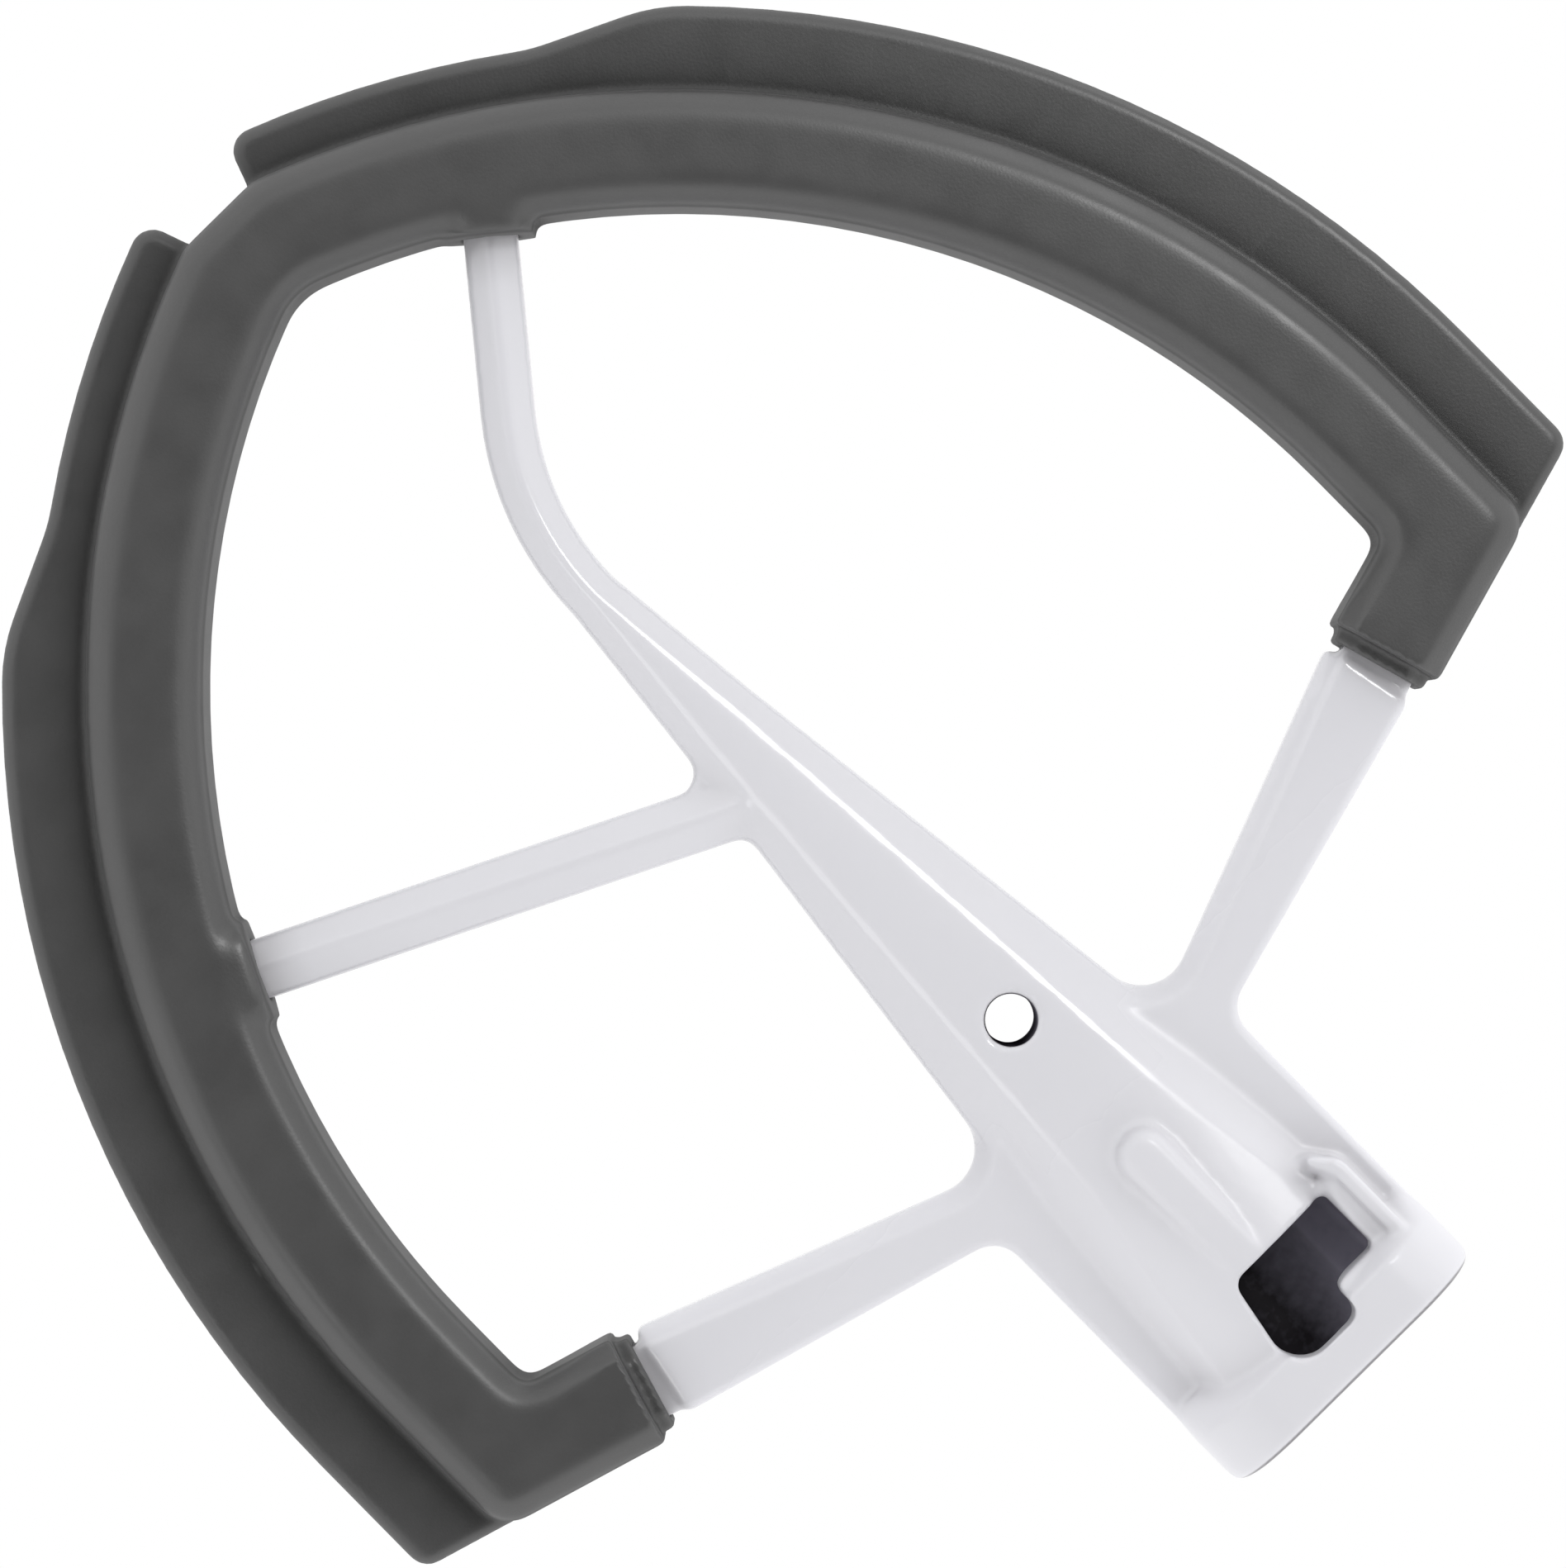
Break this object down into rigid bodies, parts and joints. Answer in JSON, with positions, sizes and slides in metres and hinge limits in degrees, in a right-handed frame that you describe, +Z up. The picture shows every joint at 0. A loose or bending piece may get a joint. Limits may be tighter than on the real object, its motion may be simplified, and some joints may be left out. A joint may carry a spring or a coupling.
{
  "type": "stand mixer flat beater",
  "caption": "Flat beater for a tilt-head stand mixer: white coated cast frame with a bayonet shaft socket, bent stem and side strut, and a grey flexible scraping edge moulded round its loop.",
  "frame": {"origin": "centre of the shaft socket's mouth, on the hub's top face", "axes": "+Z up the drive shaft's axis, out of the socket; the beater lies in the XZ plane with +X towards the straight strut, and -Y is the front with the bayonet slot"},
  "size_m": [0.1546, 0.0206, 0.1594],
  "materials": {
    "white_coat": "smooth gloss coat over cast aluminium",
    "grey_rubber": "satin, finely textured"
  },
  "bodies": {
    "root": {"cast_frame": "white_coat", "flex_edge": "grey_rubber"}
  },
  "joints": []
}
